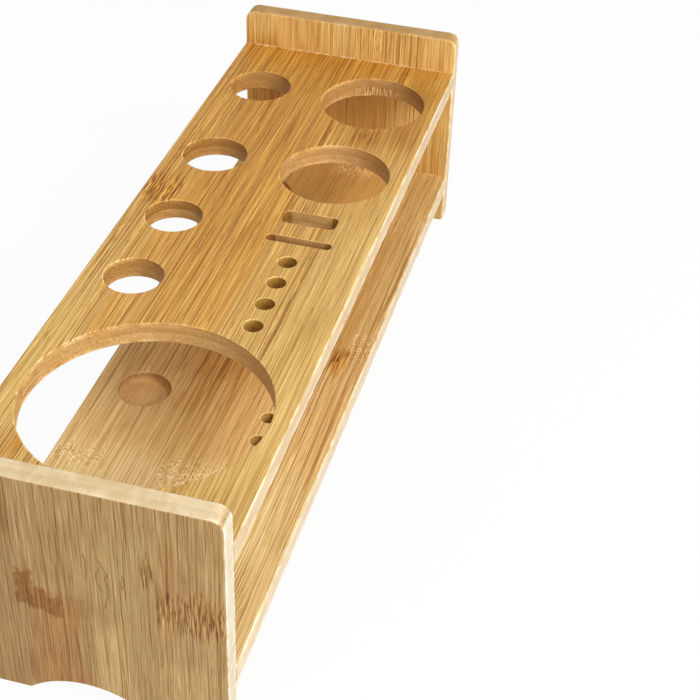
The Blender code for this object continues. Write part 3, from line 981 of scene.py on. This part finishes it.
# Curled lines of the near panel: centre, half sizes, first and last angle, strength
NEAR_CURLS = (
    (70.5, -3.2, 6.4, 1.3, 200, 350, 0.6), (64.5, -7.4, 10.8, 4.8, 200, 345, 0.85),
    (66.5, -10.2, 5.4, 1.9, 20, 165, 0.6), (67.5, -16.6, 3.6, 1.2, 200, 330, 0.7),
    (77, 7, 7.5, 1.4, 20, 160, 0.5),
)

# Patches of another tone: the same places and sizes, then how much lighter and more orange
TOP_TINTS = (
    (161, -2, 13, 7.5, -0.06, 0.9), (30, 46, 20, 8.8, -0.03, 0.2),
    (101, -29, 12, 8.5, -0.08, 0.9), (124, -45, 40, 9, -0.18, 0.35),
    (92, 8, 34, 16, -0.06, 0), (-147, 36, 11, 3.6, -0.04, 0.6),
    (-10, -46, 40, 16, 0.04, -0.25),
)
# Some of these are painted light and shade: lighter below the shaker's hole and the second cup's hole,
# darker under the top shelf beside the shaker's hole
LOW_TINTS = (
    (8, -42.5, 12, 4.5, -0.1, 0.9), (62, -22, 60, 30, -0.02, 0.5),
    (-104, 5, 36, 64, 0.21, -0.32), (-58, 8, 44, 54, 0.07, 0.04),
    (-6, 20, 22, 40, 0.06, 0.35), (150, 4, 38, 40, 0.34, 0.45),
    (168, -7, 9, 15, 0.35, -0.4), (-7, 7, 22, 14, -0.14, 0.1),
    (-47, 48, 22, 8, 0.08, 0), (-34, 14, 20, 9, -0.03, 0.12),
    (-44, -6, 30, 14, -0.08, -0.05),
)
NEAR_TINTS = (
    (22, 9.5, 34, 14.5, -0.02, 0.75), (48, 4, 9, 6.5, 0.05, 0.45),
    (22, -12.5, 30, 8.6, 0.36, 0), (80, -34.5, 18, 3, -0.12, 0.55),
    (72, -41, 12, 4.5, -0.06, 0.4), (40, -33.5, 12, 3.4, -0.06, 0.4),
    (88, 24.6, 12, 1.5, -0.1, 0.8), (14, -42, 22, 15, 0.24, 0),
)
FAR_TINTS = (
    (60, -48, 44, 2.2, -0.1, 0.4), (64, 41.5, 40, 1.8, -0.1, 0.4),
    (44, 18, 52, 52, 0.1, 0.7), (56, 48, 46, 18, -0.55, 0.5),
)

# Patches with fainter fibres: the same places and sizes, then how much fainter
TOP_CALM = ((-20, -11.9, 60, 1.8, 0.7), (-36, -24.5, 44, 5.6, 0.55), (0, -46, 400, 12, 0.4))
LOW_CALM = ((62, -24, 60, 26, 0.5), (-90, 15, 70, 48, 0.3), (150, 4, 44, 44, 0.55))
FAR_CALM = ((44, 18, 52, 52, 0.4),)

# Torn fibres on the far wall of the second cup's hole: along, across, half width
CUP_STROKES = (157.2, -20, 12)


def round_wall(hole, colour, upper, lower):
    x, y, diameter = hole
    return x, y, diameter / 2, diameter / 2, colour, upper, lower


# Walls of the openings: centre, half sizes, tint, and how much of it the upper and lower ply have. The
# tints are painted shade, except the wide slot's pink one; the small holes' one is also their darker upper
# ply.
TOP_WALLS = (
    round_wall(POURERS[0], UPPER_PLY_AND_SHADE, 0.46, 0.45),
    round_wall(POURERS[1], UPPER_PLY_AND_SHADE, 0.66, 0.25),
    round_wall(TOOLS[0], UPPER_PLY_AND_SHADE, 0.66, 0.5),
    round_wall(TOOLS[1], UPPER_PLY_AND_SHADE, 0.4, 0.5),
    (5.375, -23.7, 2.3, 14.5, SHADED_WALL, 0.4, 0.4),
    (5.375, -10.3, 2.6, 1.6, SLOT_END_SHADE, 0.75, 0.75),
    (5.375, -37.2, 2.6, 1.4, SLOT_END_SHADE, 0.75, 0.75),
    (-33.875, -23.7, 27.2, 4, PICK_HOLE_SHADE, 0.88, 0.88),
    round_wall(CUPS[0], SHADED_WALL, 0.12, 0.12),
    round_wall(CUPS[1], SHADED_WALL, 0.32, 0.32),
    (22.925, -23.7, 4.6, 12.1, PINK_WALL, 0.9, 0.9),
    (22.925, -12.2, 5, 0.2, SLOT_END_SHADE, 0.55, 0.55),
    (22.925, -12.2, 5, 1.2, SLOT_END_SHADE, 0.65, 0.65),
    (22.925, -34.8, 5, 1.2, SLOT_END_SHADE, 0.95, 0.95),
)
LOW_WALLS = (
    (-37.6, 32.7, 12, 12, SHADED_WALL, 0.35, 0.35),
    (-32.7, -24.7, 27.2, 3.4, PICK_POCKET_SHADE, 1, 1),
)


# The four boards

top_low, top_high = (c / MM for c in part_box("top_shelf"))
low_low, low_high = (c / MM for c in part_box("lower_shelf"))
left_low, left_high = (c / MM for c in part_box("left_end_panel"))
right_low, right_high = (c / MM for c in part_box("right_end_panel"))
half_width = top_high.y
half_length = -left_high.x
panel_thickness = left_high.x - left_low.x
top_thickness = top_high.z - top_low.z
low_thickness = low_high.z - low_low.z


def top_shelf_finish():
    finish = Bamboo("top_shelf_bamboo", "X", top_high.z - top_thickness / 2, -1.0)
    finish.lay_strips(TOP_UPPER, TOP_LOWER)
    finish.draw_fibres(
        (GOLDEN, AMBER), TOP_TINTS, TOP_CALM, drift=(-0.0003, 0.0036), contrast=0.82, reach=1.0,
    )
    finish.draw_lines(1.06)
    finish.add_dashes(TOP_DASHES, *SHELF_DASH)
    finish.add_seams(0.25)
    finish.finish_ends(SHELF_CUT, 0.66, speckle=0.15, step=0.6, around=0.5)
    finish.add_strokes(*CUP_STROKES)
    finish.finish_sides(SHELF_SIDE, 0.92)
    finish.finish_walls(TOP_WALLS, 0.75, top_thickness / 2)
    finish.add_wear_and_glint(1.0)
    return finish.shade(0.48)


def lower_shelf_finish():
    finish = Bamboo("lower_shelf_bamboo", "X", low_high.z - low_thickness / 2, -1.0)
    finish.lay_strips(LOW_UPPER, LOW_LOWER)
    finish.draw_fibres(
        (TAN, ORANGE), LOW_TINTS, LOW_CALM, drift=(-0.0006, 0.0012), contrast=0.68, reach=0.8,
    )
    finish.draw_lines(0.95)
    finish.add_dashes(LOW_DASHES, *SHELF_DASH)
    finish.add_crumbs(LOW_CRUMBS)
    finish.add_seams(0.5)
    finish.smooth_pockets(low_high.z, 0.6)
    finish.finish_ends(SHELF_CUT, 0.3, speckle=0.1, step=0.2)
    finish.finish_sides(LOW_SIDE, 0.92)
    finish.finish_walls(LOW_WALLS, 0.2, low_thickness / 2)
    finish.add_wear_and_glint(0.6)
    return finish.shade(0.48)


def near_panel_finish():
    finish = Bamboo("left_panel_bamboo", "Z", left_low.x + panel_thickness / 2, 1.0)
    finish.lay_strips(NEAR_OUTER, NEAR_INNER)
    finish.draw_fibres((GREY_BROWN, RUSSET), NEAR_TINTS, (), drift=(0.0, 0.0), contrast=0.5, reach=0.45)
    finish.draw_lines(0.78)
    finish.add_dashes(NEAR_DASHES, *PANEL_DASH)
    finish.add_stains(MOTTLED_STAINS, PLAIN_STAINS)
    finish.add_curls(NEAR_CURLS)
    finish.add_seams(0.5)
    finish.finish_ends(NEAR_CUT, 0.92, speckle=0.15, step=0.0)
    finish.finish_sides(NEAR_SIDE, 0.92)
    finish.add_wear_and_glint(0.5)
    return finish.shade(0.5)


def far_panel_finish():
    finish = Bamboo("right_panel_bamboo", "Z", right_low.x + panel_thickness / 2, 1.0)
    finish.lay_strips(FAR_INNER, FAR_OUTER)
    finish.draw_fibres((YELLOW, CHESTNUT), FAR_TINTS, FAR_CALM, drift=(0.0, 0.0), contrast=0.9, reach=0.7)
    finish.draw_lines(0.8)
    finish.add_dashes(FAR_DASHES, *SHELF_DASH)
    finish.add_seams(0.5)
    finish.finish_ends(FAR_CUT, 0.85, speckle=0.3, step=0.4)
    finish.finish_sides(FAR_SIDE, 0.92)
    finish.add_wear_and_glint(0.8)
    return finish.shade(0.5)


def build_top_shelf():
    board = Board("top_shelf_board", lambda p: Vector((p.x, p.y, top_high.z - p.z)))
    rows = through_rows(top_thickness)
    board.walls(shelf_outline(half_length, half_width), rows, phase=0.4)
    for i, hole in enumerate((SHAKER, *CUPS, *TOOLS, *POURERS, *PICKS)):
        board.walls(round_hole(*hole), rows, phase=1.0 + 0.7 * i)
    board.walls(slot_hole(*NARROW_SLOT), rows, phase=2.2)
    board.walls(slot_hole(*WIDE_SLOT), rows, phase=3.1)
    board.finish(top_shelf_finish(), "top_shelf_bamboo", "top_shelf")


def build_lower_shelf():
    board = Board("lower_shelf_board", lambda p: Vector((p.x, p.y, low_high.z - p.z)))
    board.walls(shelf_outline(half_length, half_width), through_rows(low_thickness), phase=1.4)
    pockets = [(hole, POCKET_STEP, POCKET_DEPTH) for hole in (*TOOLS, *POURERS)]
    pockets += [(hole, PICK_POCKET_STEP, PICK_POCKET_DEPTH) for hole in PICKS]
    for i, ((x, y, diameter), step, depth) in enumerate(pockets):
        hole = round_hole(x + POCKET_SHIFT[0], y + POCKET_SHIFT[1], diameter)
        outline = [(place + way * step, way) for place, way in hole]
        board.walls(outline, pocket_rows(diameter / 2 - step, depth), phase=0.5 * i, closed=True)
    board.finish(lower_shelf_finish(), "lower_shelf_bamboo", "lower_shelf")


def build_panel(side, outer_face, inwards, height, phase, finish):
    """An end panel: inwards is the sign of X towards the stand's middle."""
    board = Board(f"{side}_panel_board", lambda p: Vector((outer_face + inwards * p.z, p.x, p.y)))
    board.walls(panel_outline(half_width, height), through_rows(panel_thickness), phase)
    board.finish(finish, "panel_bamboo", f"{side}_end_panel")


def dress_dowels():
    finish = beech("dowel_beech")
    for name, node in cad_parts.items():
        if name.endswith("_dowel"):
            node.data.materials.clear()
            node.data.materials.append(finish)


def glue_line(name, end, height, up, phase, material):
    """A hollow bead of glue along a shelf's end: up is 1 on its upper face and -1 under it."""
    points, faces = [], []
    reach = half_width - GLUE_SETBACK
    for i in range(GLUE_STEPS + 1):
        y = -reach + 2 * reach * i / GLUE_STEPS
        wander = sum(math.sin(y * pitch + share * phase) for pitch, share in GLUE_WAVES)
        size = max(GLUE_SIZE + GLUE_WANDER * wander, GLUE_LEAST)
        corner = Vector((end * half_length, y, height))
        along = corner - Vector((end * size, 0, 0))
        upward = corner + Vector((0, 0, up * size * GLUE_RISE))
        hollow = corner + Vector((-end * size * GLUE_HOLLOW[0], 0, up * size * GLUE_HOLLOW[1]))
        points += [corner, along, upward, hollow]
        if i:
            a, b = 4 * i - 4, 4 * i
            faces += [(a + j, a + k, b + k, b + j) for j, k in ((0, 1), (1, 3), (3, 2), (2, 0))]
    last = 4 * GLUE_STEPS
    faces += [(0, 2, 3, 1), (last, last + 1, last + 3, last + 2)]
    mesh = outward_mesh(name, points, faces)
    mesh.materials.append(material)
    line = add_object(name, mesh)
    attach(line, "root")


def glue_joints():
    """Dried glue where the shelves meet the panels."""
    glue = dried_glue("dried_glue")
    for side_name, end in (("left", -1), ("right", 1)):
        for shelf_name, low, high in (("top", top_low.z, top_high.z), ("lower", low_low.z, low_high.z)):
            glue_line(f"{shelf_name}_{side_name}_upper_glue", end, high, 1, 1.3 * end + high, glue)
            glue_line(f"{shelf_name}_{side_name}_under_glue", end, low, -1, 2.1 * end + low, glue)


# Studio, in metres: floor, world and lamps

WHITE = (1.0, 1.0, 1.0, 1.0)
FLOOR_SIZE = 8.0
FLOOR_WHITE = (0.86, 0.86, 0.86, 1.0)
FLOOR_DROP = 0.00005
FLOOR_GLOW = 0.94
AMBIENT = 0.42

# Lamps: name, place, size and power. Both shine at the stand.
LAMPS = (("key", (-0.45, -1.15, 0.95), 0.7, 19.0), ("fill", (-1.3, 0.5, 0.9), 0.9, 7.5))
LAMP_TARGET = (0.0, 0.0, 0.06)


def floor_paint(name):
    """White paint that glows for the camera, and lets the view from beneath through."""
    n = Nodes(bpy.data.materials.new(name))
    paint = n.result("ShaderNodeBsdfDiffuse", {"Color": FLOOR_WHITE})
    glow = n.result("ShaderNodeEmission", {"Color": WHITE, "Strength": 1.0})
    lit = n.result("ShaderNodeMixShader", {0: n.times(n.seen_directly(), FLOOR_GLOW), 1: paint, 2: glow})
    beneath = n.add("ShaderNodeNewGeometry", {}).outputs["Backfacing"]
    clear = n.result("ShaderNodeBsdfTransparent", {})
    one_sided = n.result("ShaderNodeMixShader", {0: beneath, 1: lit, 2: clear})
    n.add("ShaderNodeOutputMaterial", {0: one_sided})
    return n.owner


def build_floor():
    half = FLOOR_SIZE / 2
    corners = ((-half, -half), (half, -half), (half, half), (-half, half))
    mesh = bpy.data.meshes.new("floor")
    mesh.from_pydata([(x, y, -FLOOR_DROP) for x, y in corners], [], [(0, 1, 2, 3)])
    mesh.materials.append(floor_paint("floor"))
    floor = add_object("floor", mesh)


def build_world():
    """A white backdrop for the camera and a dimmer light for the object."""
    n = Nodes(bpy.data.worlds.new("studio"))
    ambient = n.result("ShaderNodeBackground", {"Color": WHITE, "Strength": AMBIENT})
    backdrop = n.result("ShaderNodeBackground", {"Color": WHITE, "Strength": 1.0})
    choice = n.result("ShaderNodeMixShader", {0: n.seen_directly(), 1: ambient, 2: backdrop})
    n.add("ShaderNodeOutputWorld", {"Surface": choice})
    bpy.context.scene.world = n.owner


def build_lamp(name, place, size, power):
    light = bpy.data.lights.new(name, "AREA")
    light.shape = "SQUARE"
    light.size = size
    light.energy = power
    lamp = add_object(name, light)
    lamp.location = place
    lamp.rotation_euler = (Vector(LAMP_TARGET) - Vector(place)).to_track_quat("-Z", "Y").to_euler()


# Camera, from the photograph's perspective

CAMERA_PLACE = (-0.52318, -0.17835, 0.45765)
CAMERA_AZIMUTH = -76.15554
CAMERA_ELEVATION = 37.81618
CAMERA_ROLL = 2.11416
CAMERA_LENS = 79.869
CAMERA_SENSOR = 36.0
CAMERA_REACH = (0.01, 30.0)


def build_camera():
    azimuth, elevation, roll = (math.radians(a) for a in (CAMERA_AZIMUTH, CAMERA_ELEVATION, CAMERA_ROLL))
    flat = math.cos(elevation)
    back = Vector((math.sin(azimuth) * flat, -math.cos(azimuth) * flat, math.sin(elevation)))
    level = Vector((math.cos(azimuth), math.sin(azimuth), 0.0))
    upright = back.cross(level)
    right = level * math.cos(roll) + upright * math.sin(roll)
    up = upright * math.cos(roll) - level * math.sin(roll)
    lens = bpy.data.cameras.new("camera")
    lens.lens = CAMERA_LENS
    lens.sensor_width = CAMERA_SENSOR
    lens.sensor_fit = "HORIZONTAL"
    lens.clip_start, lens.clip_end = CAMERA_REACH
    camera = add_object("camera", lens)
    turned = Matrix((right, up, back)).transposed().to_4x4()
    camera.matrix_world = Matrix.Translation(CAMERA_PLACE) @ turned
    bpy.context.scene.camera = camera


build_top_shelf()
build_lower_shelf()
build_panel("left", left_low.x, 1, left_high.z, 0.9, near_panel_finish())
build_panel("right", right_high.x, -1, right_high.z, 2.6, far_panel_finish())
dress_dowels()
glue_joints()
build_floor()
build_world()
for lamp in LAMPS:
    build_lamp(*lamp)
build_camera()
bpy.context.scene.view_settings.view_transform = "Standard"
